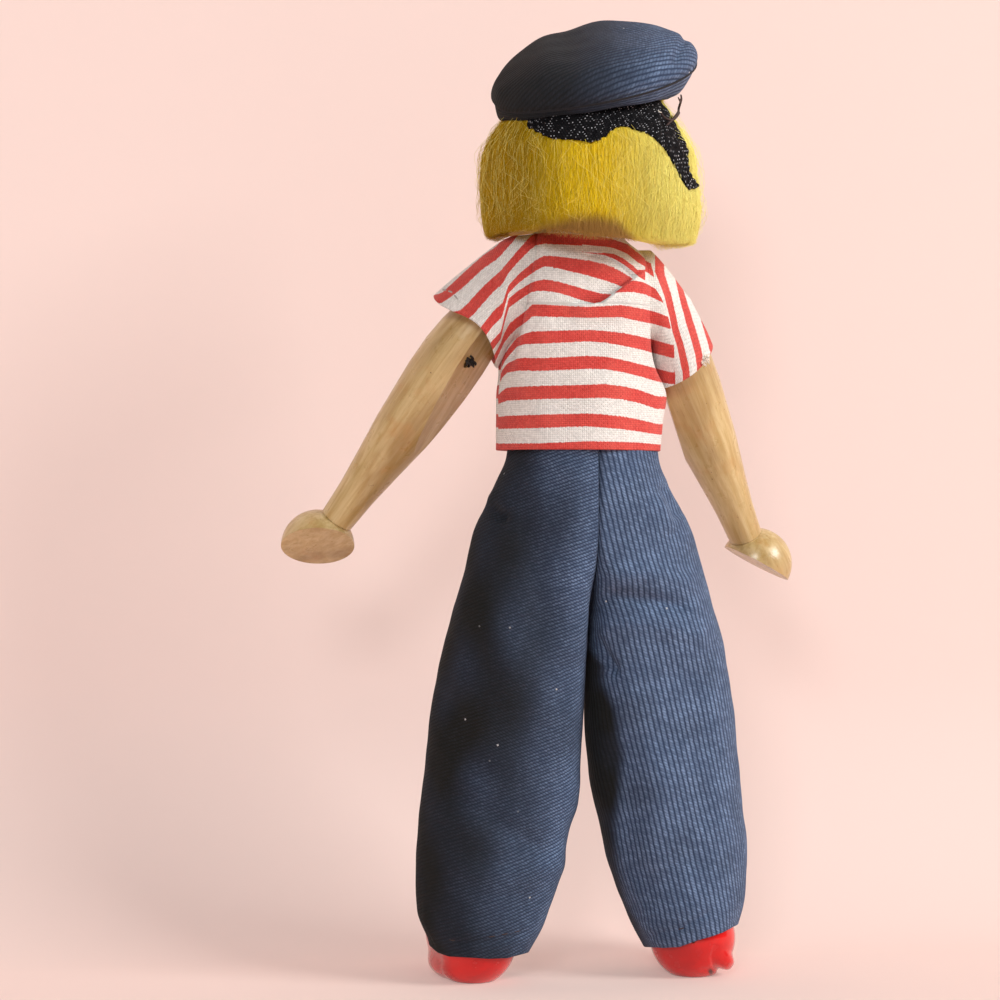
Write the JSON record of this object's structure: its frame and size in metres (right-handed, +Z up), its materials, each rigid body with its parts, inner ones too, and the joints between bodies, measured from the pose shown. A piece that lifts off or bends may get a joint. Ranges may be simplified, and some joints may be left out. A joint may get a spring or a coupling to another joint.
{
  "type": "peg wooden doll",
  "caption": "Turned wooden doll in sailor dress, with strung arms that swing and spread, pegged legs, a turning head, a mohair bob, a cap, cloth clothes and painted shoes.",
  "frame": {"origin": "under the middle of the doll's box at rest, on the plane of the soles", "axes": "+Z up through the head; the doll faces -Y and its back is on +Y; its left hand is on +X"},
  "size_m": [0.1078, 0.0507, 0.1915],
  "materials": {
    "varnished_wood": "clear honey-coloured varnish, semi-gloss",
    "plain_wood": "bare turned beech",
    "cord": "round black elastic cord",
    "pin_steel": "plain wire, dulled",
    "mohair": "yellow mohair, brushed",
    "navy_twill": "navy cotton twill with pale weft",
    "cap_lining": "black cotton tape",
    "black_crepe": "black crepe tape",
    "striped_cotton": "plain-woven cotton, red and off-white stripes",
    "red_gloss_paint": "red gloss enamel on wood",
    "elastic": "flat woven elastic"
  },
  "bodies": {
    "body": {"torso": "varnished_wood", "neck_dowel": "plain_wood", "shoulder_cord": "cord", "hip_peg": "plain_wood", "shirt_back": "striped_cotton", "shirt_front": "striped_cotton", "left_trouser_seat": "navy_twill", "right_trouser_seat": "navy_twill", "waist_elastic": "elastic"},
    "head": {"head": "varnished_wood", "wig": "mohair", "cap_top": "navy_twill", "cap_underside": "navy_twill", "cap_band": "cap_lining", "ribbon_band": "black_crepe", "ribbon_tail": "black_crepe"},
    "left_shoulder": {"left_cord_end": "cord", "left_sleeve": "striped_cotton"},
    "left_arm": {"left_arm": "varnished_wood", "left_arm_pin": "pin_steel", "left_arm_knot": "cord"},
    "right_shoulder": {"right_cord_end": "cord", "right_sleeve": "striped_cotton"},
    "right_arm": {"right_arm": "varnished_wood", "right_arm_pin": "pin_steel", "right_arm_knot": "cord"},
    "left_leg": {"left_leg": "plain_wood", "left_shoe": "red_gloss_paint", "left_trouser_leg": "navy_twill"},
    "right_leg": {"right_leg": "plain_wood", "right_shoe": "red_gloss_paint", "right_trouser_leg": "navy_twill"}
  },
  "joints": [
    {"name": "left_arm_swing", "type": "hinge", "parent": "body", "child": "left_shoulder", "pos_m": [0.01254, 0.00328, 0.1355], "axis": [-1, 0, 0], "range_deg": [-82, 95], "deforming": ["left_sleeve"]},
    {"name": "left_arm_spread", "type": "hinge", "parent": "left_shoulder", "child": "left_arm", "pos_m": [0.01254, 0.00328, 0.1355], "axis": [0, -0.9239, 0.3827], "range_deg": [-10, 48], "deforming": ["left_sleeve"]},
    {"name": "right_arm_swing", "type": "hinge", "parent": "body", "child": "right_shoulder", "pos_m": [-0.0184, 0.00328, 0.1355], "axis": [-1, 0, 0], "range_deg": [-81, 80], "deforming": ["right_sleeve"]},
    {"name": "right_arm_spread", "type": "hinge", "parent": "right_shoulder", "child": "right_arm", "pos_m": [-0.0184, 0.00328, 0.1355], "axis": [0, 0.9304, -0.3665], "range_deg": [-1.5, 54], "deforming": ["right_sleeve"]},
    {"name": "left_hip_swing", "type": "hinge", "parent": "body", "child": "left_leg", "pos_m": [0.00592, 0.00328, 0.089], "axis": [-1, 0, 0], "range_deg": [-25, 90], "deforming": ["left_trouser_seat"]},
    {"name": "right_hip_swing", "type": "hinge", "parent": "body", "child": "right_leg", "pos_m": [-0.01588, 0.00328, 0.089], "axis": [-1, 0, 0], "range_deg": [-25, 90], "deforming": ["right_trouser_seat"]},
    {"name": "head_turn", "type": "hinge", "parent": "body", "child": "head", "pos_m": [-0.00588, 0.00328, 0.148], "axis": [0, 0, 1], "range_deg": [-90, 90]}
  ]
}
